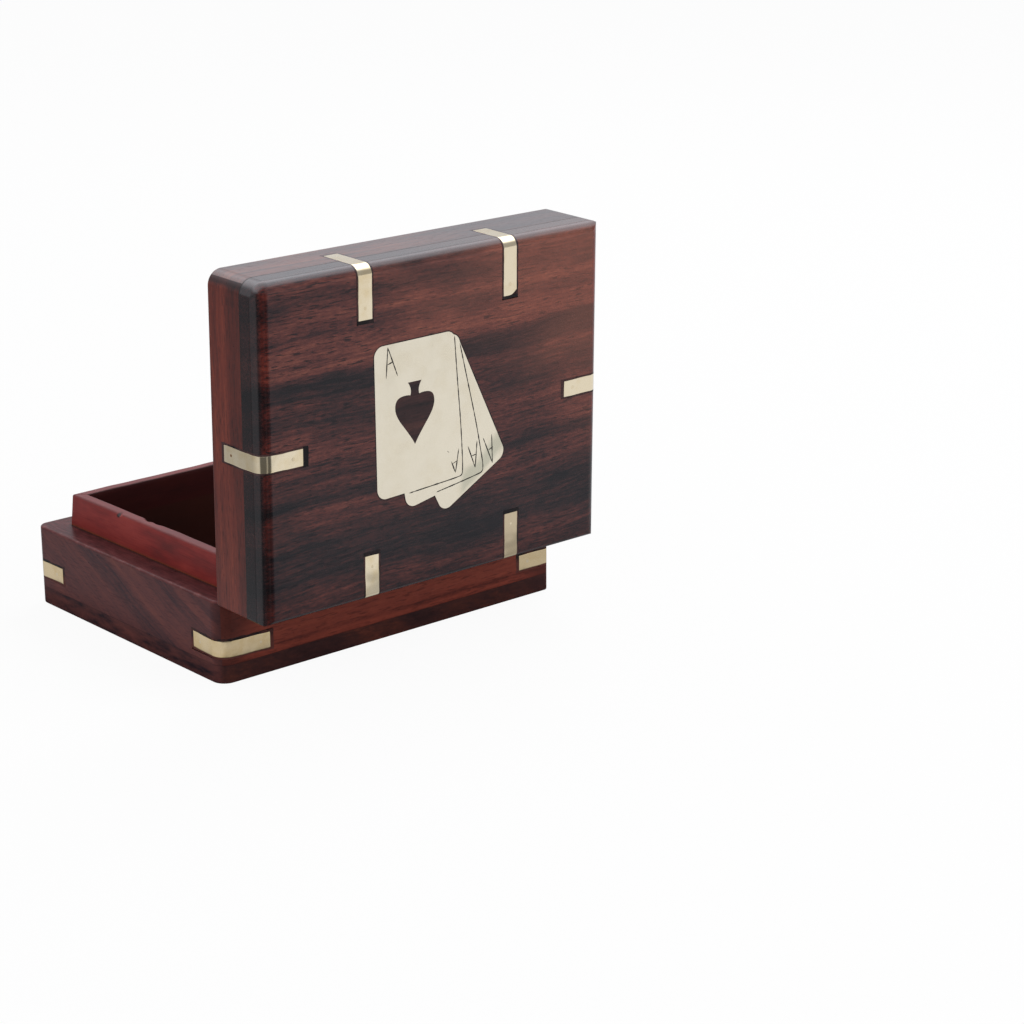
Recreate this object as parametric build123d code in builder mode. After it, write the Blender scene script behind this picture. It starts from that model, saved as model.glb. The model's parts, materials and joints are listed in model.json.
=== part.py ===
from build123d import *

import os
from math import atan, cos, degrees, radians, sin, sqrt

# Overall sizes of the box, in millimetres
box_length = 112.0
box_depth = 87.5

# Rounding of the upright corners, uneven because the box is sanded by hand
base_corner_radii = {"back_left": 4.0, "back_right": 1.3, "front_left": 3.0, "front_right": 3.0}
lid_corner_radii = {"back_left": 0.8, "back_right": 1.3, "front_left": 4.0, "front_right": 2.0}

# Tray
bottom_thickness = 5.0
bottom_edge_radius = 0.5
base_wall_height = 17.5
wall_thickness = 7.0
rim_edge_radius = 0.6

# Liner strips and the lip that they make above the rim
liner_thickness = 3.6
lip_height = 9.0
lip_taper = 0.6
lip_edge_radius = 0.4

# Lid
lid_wall_height = 13.3
lid_panel_thickness = 7.2
lid_edge_radii = {"back": 1.2, "front": 2.8, "left": 3.4, "right": 3.4}
lid_rim_radius = 0.4
lip_clearance = 0.3
rim_gap = 0.15

# Brass straps, their nails and the filler round them
strap_width = 4.4
strap_thickness = 0.8
filler_beside = 0.5
filler_at_end = 1.0
strap_pin_radius = 0.6
strap_pin_length = 5.5
strap_pin_from_end = 3.0
pin_play = 0.03

# Corner straps of the tray: leg along the long side, leg along the short side, height of the middle
base_straps = {
    "back_left": (15.6, 12.0, 9.4),
    "back_right": (10.9, 13.4, 10.2),
    "front_left": (13.4, 12.5, 10.2),
    "front_right": (13.4, 12.5, 10.2),
}

# Lid straps: the side they bend over, which end of it they are measured from, how far from that end
# their middle lies, how far they reach over the top and how far above the rim they start
lid_straps = {
    "left": ("left", 1, 42.0, 12.9, 5.2),
    "right": ("right", -1, 43.5, 12.6, 5.2),
    "front_left": ("front", 1, 32.8, 14.0, 6.6),
    "front_right": ("front", -1, 31.8, 15.2, 8.2),
    "back_left": ("back", -1, 34.1, 11.5, 5.2),
    "back_right": ("back", 1, 31.1, 12.8, 5.2),
}

# Card fan let into the lid: the corners of three hand-cut cards, spread from their top right corners
fan_cards = {
    "front": [(-20.6, 22.1), (5.6, 22.4), (8.5, -17.0), (-19.9, -18.3)],
    "middle": [(-17.7, 16.0), (6.6, 22.0), (15.6, -17.4), (-10.3, -22.4)],
    "back": [(-16.6, 9.6), (6.2, 21.3), (23.0, -13.9), (1.6, -26.0)],
}
card_corner = 2.8
plate_thickness = 0.8
plate_filler = 0.3

# Spade opening in the plate, drawn tip up and set in the plate tip down: half of its outline from the tip
# round a lobe to the waist, then half of the stem from the waist to the foot
spade_x = -7.6
spade_y = 5.2
spade_half = [
    (0, 10.6),
    (1.55, 8.2),
    (3.45, 5.7),
    (5.45, 2.95),
    (6.4, 0),
    (5.7, -2.05),
    (3.9, -2.75),
    (1.45, -2.6),
]
stem_half = [(1.45, -2.6), (1.3, -3.9), (1.6, -5.0), (2.25, -6.05)]

# Hinges
open_angle = 91.0
stop_gap = 0.08
pin_inset = 0.8
hinge_from_end = 10.0
hinge_length = 16.0
knuckle_radius = 1.2
knuckle_gap = 0.15
hinge_pin_radius = 0.55
hinge_running_gap = 0.05
bed_clearance = 0.2
leaf_thickness = 0.8
leaf_width = 5.2
screw_from_pin = 3.4
screw_from_leaf_end = 3.0
screw_head_radius = 0.9
screw_shank_radius = 0.45
screw_length = 5.5

# Values that follow from the sizes above
rim_height = bottom_thickness + base_wall_height
lid_height = lid_wall_height + lid_panel_thickness
lid_wall_thickness = wall_thickness - lip_clearance
pin_y = -box_depth / 2 + pin_inset
pin_z = rim_height + rim_gap / 2
hinge_spread = box_length / 2 - hinge_from_end - hinge_length / 2
screw_spread = hinge_length / 2 - screw_from_leaf_end
overcut = 2.0

sides = {"back": (0, -1), "front": (0, 1), "left": (-1, 0), "right": (1, 0)}
corners = {
    "back_left": (-1, -1),
    "back_right": (1, -1),
    "front_left": (-1, 1),
    "front_right": (1, 1),
}
hinges = {"left": -hinge_spread, "right": hinge_spread}

# The tray's frame sits at the middle of its underside. The lid's frame sits at the middle of its rim,
# with z from the rim to the top, and is turned about the hinge pins to the open angle.
swing = radians(open_angle)
lid_rim_y = -pin_y * cos(swing) - rim_gap / 2 * sin(swing)
lid_rim_z = -pin_y * sin(swing) + rim_gap / 2 * cos(swing)
base_frame = Plane.XY
lid_frame = Plane(
    origin=(0, pin_y + lid_rim_y, pin_z + lid_rim_z),
    x_dir=(1, 0, 0),
    z_dir=(0, -sin(swing), cos(swing)),
)


def outward(frame, side):
    """Direction that one side of the box faces."""
    across, away = sides[side]
    return frame.x_dir * across + frame.y_dir * away


def lengthwise(frame, side):
    """Direction along one side of the box, a quarter turn from the way it faces."""
    across, away = sides[side]
    return frame.y_dir * across - frame.x_dir * away


def side_length(side):
    """Length of one side of the box."""
    return box_length if side in ("back", "front") else box_depth


def section_plane(frame, side, shift):
    """Section of one side: x runs inwards from the outer face, y up from the frame."""
    across, away = sides[side]
    middle = frame.from_local_coords(Vector(across * box_length / 2, away * box_depth / 2, 0))
    along = lengthwise(frame, side)
    return Plane(origin=middle + along * shift, x_dir=outward(frame, side) * -1, z_dir=along)


def face_plane(frame, side, shift, height):
    """Plane on the outer face of one side, looking outwards."""
    spot = section_plane(frame, side, shift).from_local_coords(Vector(0, height, 0))
    return Plane(origin=spot, x_dir=lengthwise(frame, side), z_dir=outward(frame, side))


def mitre_outline(side):
    """Plan of one quarter of the box, between the two mitre lines at the ends of a side."""
    across, away = sides[side]
    half_run = side_length(side) / 2
    half_span = box_depth / 2 if away else box_length / 2
    deep = wall_thickness + liner_thickness + overcut
    ends = [
        (half_span + overcut, -half_run - overcut),
        (half_span + overcut, half_run + overcut),
        (half_span - deep, half_run - deep),
        (half_span - deep, -half_run + deep),
    ]
    return [(across * out - away * run, away * out + across * run) for out, run in ends]


def mitred(ring, frame, side, height):
    """One board of a ring, cut at its mitres."""
    with BuildPart() as board:
        add(ring)
        with BuildSketch(frame.offset(-overcut)):
            with BuildLine():
                Polyline(*mitre_outline(side), close=True)
            make_face()
        extrude(amount=height + 2 * overcut, mode=Mode.INTERSECT)
    return board.part


def save(part, name):
    """Name a finished piece and write it."""
    part.label = name
    export_step(part, f"parts/{name}.step")


def save_cut(blank, name, cutters):
    """Cut beds and holes into a blank, then write it."""
    with BuildPart() as piece:
        add(blank)
        for cutter in cutters:
            add(cutter, mode=Mode.SUBTRACT)
    save(piece.part, name)


def save_group(parts, name):
    """Write like pieces as one group of separate solids."""
    with BuildPart() as group:
        for part in parts:
            add(part)
    save(group.part, name)


def less(blank, cutter):
    """What is left of a blank round a piece that lies in it."""
    with BuildPart() as rest:
        add(blank)
        add(cutter, mode=Mode.SUBTRACT)
    return rest.part


def plan_outline(radii, inset):
    """Plan of the box, each corner rounded by its own radius, drawn in from the outer faces by an inset."""
    with BuildSketch(Plane.XY, mode=Mode.PRIVATE) as outline:
        Rectangle(box_length - 2 * inset, box_depth - 2 * inset)
        for corner, (across, away) in corners.items():
            spot = (across * (box_length / 2 - inset), away * (box_depth / 2 - inset), 0)
            fillet(outline.vertices().sort_by_distance(spot)[0], radius=radii[corner] - inset)
    return outline.sketch


# Rings: the tray's walls, the liner and the lid's walls before they are cut into boards
def base_ring():
    with BuildPart() as ring:
        with BuildSketch(base_frame.offset(bottom_thickness)):
            add(plan_outline(base_corner_radii, 0))
        extrude(amount=base_wall_height)
        fillet(ring.edges().group_by(Axis.Z)[-1], radius=rim_edge_radius)
        with BuildSketch(base_frame.offset(bottom_thickness)):
            Rectangle(box_length - 2 * wall_thickness, box_depth - 2 * wall_thickness)
        extrude(amount=base_wall_height, mode=Mode.SUBTRACT)
    return ring.part


def liner_ring():
    outer_length = box_length - 2 * wall_thickness
    outer_depth = box_depth - 2 * wall_thickness
    with BuildPart() as ring:
        with BuildSketch(base_frame.offset(bottom_thickness)):
            Rectangle(outer_length, outer_depth)
        extrude(amount=base_wall_height)
        with BuildSketch(base_frame.offset(rim_height)):
            Rectangle(outer_length, outer_depth)
        extrude(amount=lip_height, taper=degrees(atan(lip_taper / lip_height)))
        with BuildSketch(base_frame.offset(bottom_thickness)):
            Rectangle(outer_length - 2 * liner_thickness, outer_depth - 2 * liner_thickness)
        extrude(amount=base_wall_height + lip_height, mode=Mode.SUBTRACT)
        fillet(ring.edges().group_by(Axis.Z)[-1], radius=lip_edge_radius)
    return ring.part


def lid_ring():
    with BuildPart() as ring:
        with BuildSketch(lid_frame):
            add(plan_outline(lid_corner_radii, 0))
        extrude(amount=lid_wall_height)
        rim = ring.faces().sort_by(Axis(lid_frame.origin, lid_frame.z_dir))[0]
        fillet(rim.edges(), radius=lid_rim_radius)
        with BuildSketch(lid_frame):
            Rectangle(box_length - 2 * lid_wall_thickness, box_depth - 2 * lid_wall_thickness)
        extrude(amount=lid_wall_height, mode=Mode.SUBTRACT)
    return ring.part


def bottom_panel():
    with BuildPart() as panel:
        with BuildSketch(base_frame):
            add(plan_outline(base_corner_radii, 0))
        extrude(amount=bottom_thickness)
        fillet(panel.edges().group_by(Axis.Z)[0], radius=bottom_edge_radius)
    return panel.part


def edge_waste(side):
    """What is sanded off one edge of the lid's top to round it."""
    radius = lid_edge_radii[side]
    bend = lid_height - radius
    middle = radius * (1 - sqrt(0.5))
    with BuildPart() as waste:
        with BuildSketch(section_plane(lid_frame, side, 0)):
            with BuildLine():
                ThreePointArc((0, bend), (middle, lid_height - middle), (radius, lid_height))
                Polyline(
                    (radius, lid_height),
                    (radius, lid_height + overcut),
                    (-overcut, lid_height + overcut),
                    (-overcut, bend),
                    (0, bend),
                )
            make_face()
        extrude(amount=side_length(side) / 2 + overcut, both=True)
    return waste.part


def corner_waste(corner, radius):
    """What is sanded off one corner of the lid's top, so that its two rounded edges run into each other."""
    across, away = corners[corner]
    plan_radius = lid_corner_radii[corner]
    bend = lid_height - radius
    middle = radius * (1 - sqrt(0.5))
    centre = Vector(across * (box_length / 2 - plan_radius), away * (box_depth / 2 - plan_radius), 0)
    first_side = lid_frame.x_dir * across if across == away else lid_frame.y_dir * away
    spot = lid_frame.from_local_coords(centre)
    with BuildPart() as waste:
        with BuildSketch(Plane(origin=spot, x_dir=first_side, z_dir=first_side.cross(lid_frame.z_dir))):
            with BuildLine():
                ThreePointArc(
                    (plan_radius - radius, lid_height),
                    (plan_radius - middle, lid_height - middle),
                    (plan_radius, bend),
                )
                Polyline(
                    (plan_radius, bend),
                    (plan_radius + overcut, bend),
                    (plan_radius + overcut, lid_height + overcut),
                    (plan_radius - radius, lid_height + overcut),
                    (plan_radius - radius, lid_height),
                )
            make_face()
        revolve(axis=Axis(spot, lid_frame.z_dir), revolution_arc=90)
    return waste.part


def top_panel():
    """Panel with its edges rounded by their own radii, and its well-rounded corners rounded over the top."""
    with BuildPart() as panel:
        with BuildSketch(lid_frame.offset(lid_wall_height)):
            add(plan_outline(lid_corner_radii, 0))
        extrude(amount=lid_panel_thickness)
        for side in sides:
            add(edge_waste(side), mode=Mode.SUBTRACT)
        for corner, plan_radius in lid_corner_radii.items():
            radius = min(lid_edge_radii[side] for side in corner.split("_"))
            if plan_radius > radius:
                add(corner_waste(corner, radius), mode=Mode.SUBTRACT)
    return panel.part


# Straps
def corner_strap(corner, beside, at_end):
    """Strap round an upright corner of the tray, grown by the filler's width for its bed."""
    across, away = corners[corner]
    long_leg, short_leg, height = base_straps[corner]
    with BuildPart() as strap:
        with BuildSketch(base_frame.offset(height - strap_width / 2 - beside)):
            add(plan_outline(base_corner_radii, 0))
            add(plan_outline(base_corner_radii, strap_thickness), mode=Mode.SUBTRACT)
            with Locations((across * box_length / 2, away * box_depth / 2)):
                Rectangle(2 * (long_leg + at_end), 2 * (short_leg + at_end), mode=Mode.INTERSECT)
        extrude(amount=strap_width + 2 * beside)
    return strap.part


def corner_strap_pins(corner, play):
    """Two nails through a corner strap, one in each leg."""
    across, away = corners[corner]
    long_leg, short_leg, height = base_straps[corner]
    long_side = "front" if away > 0 else "back"
    short_side = "right" if across > 0 else "left"
    long_shift = -away * across * (box_length / 2 - long_leg + strap_pin_from_end)
    short_shift = across * away * (box_depth / 2 - short_leg + strap_pin_from_end)
    spots = [
        face_plane(base_frame, long_side, long_shift, height),
        face_plane(base_frame, short_side, short_shift, height),
    ]
    return [nail(spot, play) for spot in spots]


def nail(spot, play):
    """Round nail driven in flush from a plane on the surface."""
    with BuildPart() as pin:
        with BuildSketch(spot):
            Circle(strap_pin_radius + play)
        extrude(amount=-strap_pin_length)
    return pin.part


def edge_strap(strap, beside, at_end):
    """Strap bent over the rounded edge of the lid's top, grown by the filler's width for its bed."""
    side, end, from_end, reach, above_rim = lid_straps[strap]
    shift = end * (side_length(side) / 2 - from_end)
    low = above_rim - at_end
    far = reach + at_end
    radius = lid_edge_radii[side]
    bend = lid_height - radius
    under = lid_height - strap_thickness
    outer_mid = radius * (1 - sqrt(0.5))
    inner_mid = radius - (radius - strap_thickness) * sqrt(0.5)
    with BuildPart() as bent:
        with BuildSketch(section_plane(lid_frame, side, shift)):
            with BuildLine():
                Line((0, low), (0, bend))
                ThreePointArc((0, bend), (outer_mid, lid_height - outer_mid), (radius, lid_height))
                Line((radius, lid_height), (far, lid_height))
                Line((far, lid_height), (far, under))
                Line((far, under), (radius, under))
                ThreePointArc((radius, under), (inner_mid, lid_height - inner_mid), (strap_thickness, bend))
                Line((strap_thickness, bend), (strap_thickness, low))
                Line((strap_thickness, low), (0, low))
            make_face()
        extrude(amount=strap_width / 2 + beside, both=True)
    return bent.part


def edge_strap_pins(strap, play):
    """Two nails through a lid strap, one in the side and one in the top."""
    side, end, from_end, reach, above_rim = lid_straps[strap]
    shift = end * (side_length(side) / 2 - from_end)
    section = section_plane(lid_frame, side, shift)
    top_spot = section.from_local_coords(Vector(reach - strap_pin_from_end, lid_height, 0))
    spots = [
        face_plane(lid_frame, side, shift, above_rim + strap_pin_from_end),
        Plane(origin=top_spot, x_dir=lid_frame.x_dir, z_dir=lid_frame.z_dir),
    ]
    return [nail(spot, play) for spot in spots]


# Inlay
def card_outline(card, margin):
    """One card of the fan with its corners rounded, grown by a margin."""
    with BuildSketch(Plane.XY, mode=Mode.PRIVATE) as outline:
        Polygon(*fan_cards[card], align=None)
        fillet(outline.vertices(), radius=card_corner)
        if margin:
            offset(amount=margin)
    return outline.sketch


def card_fan(margin):
    """Plate of three fanned cards, grown by a margin for its bed."""
    with BuildPart() as fan:
        with BuildSketch(lid_frame.offset(lid_height)):
            for card in fan_cards:
                add(card_outline(card, margin))
        extrude(amount=-plate_thickness)
    return fan.part


def spade():
    """Spade: two lobes, flanks drawn in to a tip and a waisted stem, set tip down in the plate."""
    foot_x, foot_y = stem_half[-1]
    with BuildPart() as figure:
        with BuildSketch(lid_frame.offset(lid_height)):
            with BuildLine():
                for hand in (-1, 1):
                    Spline(*[(spade_x + hand * x, spade_y - y) for x, y in spade_half])
                    Spline(*[(spade_x + hand * x, spade_y - y) for x, y in stem_half])
                Line((spade_x - foot_x, spade_y - foot_y), (spade_x + foot_x, spade_y - foot_y))
            make_face()
        extrude(amount=-plate_thickness)
    return figure.part


# Hinges
knuckle_length = (hinge_length - 2 * knuckle_gap) / 3
end_knuckle = (hinge_length - knuckle_length) / 2
base_knuckles = (-end_knuckle, end_knuckle)
lid_knuckles = (0.0,)


def round_bar(frame, axis_height, middle, radius, length):
    """Round bar on the pin line of a frame."""
    with BuildPart() as bar:
        with BuildSketch(section_plane(frame, "back", middle)):
            with Locations((pin_inset, axis_height)):
                Circle(radius)
        extrude(amount=length / 2, both=True)
    return bar.part


def leaf_plate(frame, rim, into, middle):
    """Plate of a hinge leaf, flush with the rim."""
    with BuildPart() as plate:
        with BuildSketch(section_plane(frame, "back", middle)):
            with Locations((pin_inset + leaf_width / 2, rim + into * leaf_thickness / 2)):
                Rectangle(leaf_width, leaf_thickness)
        extrude(amount=hinge_length / 2, both=True)
    return plate.part


def leaf_screws(frame, rim, into, middle, play):
    """Two countersunk wood screws through a leaf."""
    cone = screw_head_radius - screw_shank_radius
    screws = []
    for shift in (-screw_spread, screw_spread):
        section = section_plane(frame, "back", middle + shift)
        head = section.from_local_coords(Vector(pin_inset + screw_from_pin, rim, 0))
        with BuildPart() as screw:
            with BuildSketch(Plane(origin=head, x_dir=frame.x_dir, z_dir=frame.y_dir * -1)):
                with BuildLine():
                    Polyline(
                        (0, 0),
                        (screw_head_radius + play, 0),
                        (screw_shank_radius + play, into * cone),
                        (screw_shank_radius + play, into * (screw_length - cone)),
                        (0, into * screw_length),
                        close=True,
                    )
                make_face()
            revolve(axis=Axis(head, frame.z_dir))
        screws.append(screw.part)
    return screws


def hinge_leaf(frame, rim, axis_height, into, middle, own, other, bore):
    """One leaf: its plate, its own knuckles on the pin line and room for the other leaf's."""
    with BuildPart() as leaf:
        add(leaf_plate(frame, rim, into, middle))
        for spot in other:
            room = round_bar(
                frame,
                axis_height,
                middle + spot,
                knuckle_radius + bed_clearance,
                knuckle_length + 2 * knuckle_gap,
            )
            add(room, mode=Mode.SUBTRACT)
        for spot in own:
            add(round_bar(frame, axis_height, middle + spot, knuckle_radius, knuckle_length))
        add(round_bar(frame, axis_height, middle, bore, hinge_length + overcut), mode=Mode.SUBTRACT)
        for screw in leaf_screws(frame, rim, into, middle, pin_play):
            add(screw, mode=Mode.SUBTRACT)
    return leaf.part


def hinge_beds(frame, rim, axis_height, into):
    """Everything cut from a back board for the hinges: leaf beds, knuckle grooves and screw holes."""
    beds = []
    for middle in hinges.values():
        beds.append(leaf_plate(frame, rim, into, middle))
        groove = hinge_length + 2 * bed_clearance
        beds.append(round_bar(frame, axis_height, middle, knuckle_radius + bed_clearance, groove))
        beds.extend(leaf_screws(frame, rim, into, middle, pin_play))
    return beds


def stop_bevel(frame, axis_height, into):
    """Wedge cut from a back arris along the pin line, so that the two bevels meet at the open angle."""
    slope = radians(open_angle / 2)
    near_x = pin_inset + stop_gap / 2 * sin(slope)
    near_y = axis_height + into * stop_gap / 2 * cos(slope)
    run = pin_inset + overcut
    with BuildPart() as wedge:
        with BuildSketch(section_plane(frame, "back", 0)):
            with BuildLine():
                Polyline(
                    (near_x + overcut * cos(slope), near_y - into * overcut * sin(slope)),
                    (near_x - run * cos(slope), near_y + into * run * sin(slope)),
                    (near_x - run * cos(slope), near_y - into * overcut * sin(slope)),
                    close=True,
                )
            make_face()
        extrude(amount=box_length / 2 + overcut, both=True)
    return wedge.part


os.makedirs("parts", exist_ok=True)

# Straps, their beds and nails
base_bent_straps = {corner: corner_strap(corner, 0, 0) for corner in corners}
base_beds = {corner: corner_strap(corner, filler_beside, filler_at_end) for corner in corners}
base_pin_holes = [hole for corner in corners for hole in corner_strap_pins(corner, pin_play)]
lid_bent_straps = {strap: edge_strap(strap, 0, 0) for strap in lid_straps}
lid_beds = {strap: edge_strap(strap, filler_beside, filler_at_end) for strap in lid_straps}
lid_pin_holes = [hole for strap in lid_straps for hole in edge_strap_pins(strap, pin_play)]

# Tray boards
base_cuts = [*base_beds.values(), *base_pin_holes, stop_bevel(base_frame, pin_z, -1)]
base_hinge_cuts = hinge_beds(base_frame, rim_height, pin_z, -1)
walls = base_ring()
liner = liner_ring()
for side in sides:
    board = mitred(walls, base_frame, side, rim_height)
    save_cut(board, f"base_wall_{side}", base_cuts + (base_hinge_cuts if side == "back" else []))
    save(mitred(liner, base_frame, side, rim_height + lip_height), f"liner_{side}")
save(bottom_panel(), "base_bottom_panel")

# Tray straps
for corner, strap in base_bent_straps.items():
    holes = corner_strap_pins(corner, pin_play)
    save_cut(strap, f"base_strap_{corner}", holes)
save_group([pin for corner in corners for pin in corner_strap_pins(corner, 0)], "base_strap_pins")
save_group([less(base_beds[corner], base_bent_straps[corner]) for corner in corners], "base_strap_filler")

# Lid boards
lid_cuts = [*lid_beds.values(), *lid_pin_holes, stop_bevel(lid_frame, -rim_gap / 2, 1)]
lid_hinge_cuts = hinge_beds(lid_frame, 0, -rim_gap / 2, 1)
lid_walls = lid_ring()
for side in sides:
    board = mitred(lid_walls, lid_frame, side, lid_wall_height)
    save_cut(board, f"lid_wall_{side}", lid_cuts + (lid_hinge_cuts if side == "back" else []))
save_cut(top_panel(), "lid_top_panel", [*lid_beds.values(), *lid_pin_holes, card_fan(plate_filler)])

# Lid straps
for strap, bent in lid_bent_straps.items():
    save_cut(bent, f"lid_strap_{strap}", edge_strap_pins(strap, pin_play))
save_group([pin for strap in lid_straps for pin in edge_strap_pins(strap, 0)], "lid_strap_pins")
save_group([less(lid_beds[strap], lid_bent_straps[strap]) for strap in lid_straps], "lid_strap_filler")

# Inlay
save_cut(card_fan(0), "card_inlay_plate", [spade()])
save(spade(), "spade_insert")
save(less(card_fan(plate_filler), card_fan(0)), "inlay_filler")

# Hinges
for name, middle in hinges.items():
    base_leaf = hinge_leaf(
        base_frame, rim_height, pin_z, -1, middle, base_knuckles, lid_knuckles, hinge_pin_radius
    )
    save(base_leaf, f"hinge_base_leaf_{name}")
    lid_bore = hinge_pin_radius + hinge_running_gap
    lid_leaf = hinge_leaf(lid_frame, 0, -rim_gap / 2, 1, middle, lid_knuckles, base_knuckles, lid_bore)
    save(lid_leaf, f"hinge_lid_leaf_{name}")
    save(round_bar(base_frame, pin_z, middle, hinge_pin_radius, hinge_length), f"hinge_pin_{name}")
base_screws = [leaf_screws(base_frame, rim_height, -1, middle, 0) for middle in hinges.values()]
save_group([screw for pair in base_screws for screw in pair], "hinge_base_screws")
lid_screws = [leaf_screws(lid_frame, 0, 1, middle, 0) for middle in hinges.values()]
save_group([screw for pair in lid_screws for screw in pair], "hinge_lid_screws")
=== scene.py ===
import json
import math

import bmesh
import bpy
import numpy as np
from mathutils import Matrix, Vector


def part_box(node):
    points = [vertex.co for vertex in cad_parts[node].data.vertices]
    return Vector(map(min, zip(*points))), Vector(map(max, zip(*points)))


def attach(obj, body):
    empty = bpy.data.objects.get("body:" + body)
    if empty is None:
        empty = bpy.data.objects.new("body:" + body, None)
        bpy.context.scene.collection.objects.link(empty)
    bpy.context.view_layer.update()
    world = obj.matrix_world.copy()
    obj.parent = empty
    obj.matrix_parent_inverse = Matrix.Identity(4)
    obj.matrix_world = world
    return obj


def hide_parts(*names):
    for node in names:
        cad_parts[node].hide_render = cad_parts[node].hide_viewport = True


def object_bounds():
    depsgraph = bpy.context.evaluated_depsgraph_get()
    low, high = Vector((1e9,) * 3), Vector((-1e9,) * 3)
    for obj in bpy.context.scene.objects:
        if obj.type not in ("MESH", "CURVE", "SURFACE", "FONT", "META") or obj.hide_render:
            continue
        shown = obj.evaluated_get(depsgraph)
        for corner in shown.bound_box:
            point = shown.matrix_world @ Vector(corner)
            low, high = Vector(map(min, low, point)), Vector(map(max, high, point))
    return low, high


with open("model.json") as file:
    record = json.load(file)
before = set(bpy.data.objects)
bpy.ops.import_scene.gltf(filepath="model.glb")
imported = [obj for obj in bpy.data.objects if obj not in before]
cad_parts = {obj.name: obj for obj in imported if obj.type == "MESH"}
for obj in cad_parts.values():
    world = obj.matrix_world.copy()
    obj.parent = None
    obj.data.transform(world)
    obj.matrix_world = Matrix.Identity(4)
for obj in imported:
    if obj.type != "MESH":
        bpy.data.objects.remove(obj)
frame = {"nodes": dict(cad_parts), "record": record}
cad_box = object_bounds()

# Sizes of the box in millimetres, read from the frame
to_mm = 1000.0
half_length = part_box("base_bottom_panel")[1][0] * to_mm
half_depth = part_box("base_bottom_panel")[1][1] * to_mm
bottom_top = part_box("base_bottom_panel")[1][2] * to_mm
rim_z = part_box("base_wall_front")[1][2] * to_mm
lip_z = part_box("liner_front")[1][2] * to_mm
lid_hinge = frame["record"]["behaviour"]["joints"][0]
pin_y = lid_hinge["pos_m"][1] * to_mm
pin_z = lid_hinge["pos_m"][2] * to_mm
open_angle = -math.radians(lid_hinge["range_deg"][0])
open_cos = math.cos(open_angle)
open_sin = math.sin(open_angle)
rim_gap = 2 * (pin_z - rim_z)

# Sizes that the boards, liner and straps share with the solids, in millimetres
wall_thickness = 7.0
liner_thickness = 3.6
lip_taper = 0.6
lid_height = 20.5
lid_seam = 13.3
strap_half = 2.2
nail_from_end = 3.0
nail_radius = 0.6
sharp_edge = math.radians(38)

# Lid straps: way the side faces, place along it, start above the rim, reach over the top,
# skew of the cut end, rounding of the edge it is bent over
lid_straps = {
    "left": ((-1, 0), -1.75, 5.2, 12.9, 0.0, 3.4),
    "right": ((1, 0), -0.25, 5.2, 12.6, 0.1, 3.4),
    "front_left": ((0, 1), -23.2, 6.6, 14.0, 0.0, 2.8),
    "front_right": ((0, 1), 24.2, 8.2, 15.2, 1.4, 2.8),
    "back_left": ((0, -1), -21.9, 5.2, 11.5, 0.1, 1.2),
    "back_right": ((0, -1), 24.9, 5.2, 12.8, 0.0, 1.2),
}

# Tray straps: way the corner points, leg on the long side, leg on the short side, height of the middle,
# drop from the short side's end to the other, rounding of the corner
tray_straps = {
    "back_left": ((-1, -1), 15.6, 12.0, 9.4, 0.8, 4.0),
    "back_right": ((1, -1), 10.9, 13.4, 10.2, 0.0, 1.3),
    "front_left": ((-1, 1), 13.4, 12.5, 10.2, 0.2, 3.0),
    "front_right": ((1, 1), 13.4, 12.5, 10.2, 0.3, 3.0),
}


# Placing: points of the closed lid turned to the open pose
def opened(x, y, t):
    """Closed lid point (x, y in plan, t above its rim) turned about the pins by the open angle."""
    dy = y - pin_y
    dz = t + rim_gap / 2
    up = pin_z + dy * open_sin + dz * open_cos
    return np.stack(np.broadcast_arrays(x, pin_y + dy * open_cos - dz * open_sin, up), -1)


# Meshes from grids of points
def grid_quads(rows, columns):
    """Quads between neighbouring points of a grid whose rows close on themselves."""
    i, j = np.meshgrid(np.arange(rows - 1), np.arange(columns), indexing="ij")
    k = (j + 1) % columns
    corners = [i * columns + j, (i + 1) * columns + j, (i + 1) * columns + k, i * columns + k]
    return np.stack(corners, -1).reshape(-1, 4)


def bar(points):
    """Closed bar from a grid whose rows are its sections: each end row is drawn in to its own middle."""
    first = np.broadcast_to(points[:1].mean(axis=1, keepdims=True), points[:1].shape)
    last = np.broadcast_to(points[-1:].mean(axis=1, keepdims=True), points[-1:].shape)
    points = np.concatenate([first, points, last])
    return points.reshape(-1, 3), grid_quads(*points.shape[:2])


def dome(middle, out, radius, rise):
    """Low round dome: rings at radius r and height rise * (1 - r * r), drawn about its middle."""
    side = np.cross(out, (0.31, 0.87, 0.38))
    side /= np.linalg.norm(side)
    other = np.cross(out, side)
    r, turn = np.meshgrid(np.linspace(1, 0.02, 6), np.linspace(0, 2 * np.pi, 25)[:-1], indexing="ij")
    flat = side * np.cos(turn)[..., None] + other * np.sin(turn)[..., None]
    points = middle + flat * (radius * r)[..., None] + out * (rise * (1 - r * r))[..., None]
    base = middle + flat[:1] * radius - out * 0.3
    return bar(np.concatenate([base, points]))


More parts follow.
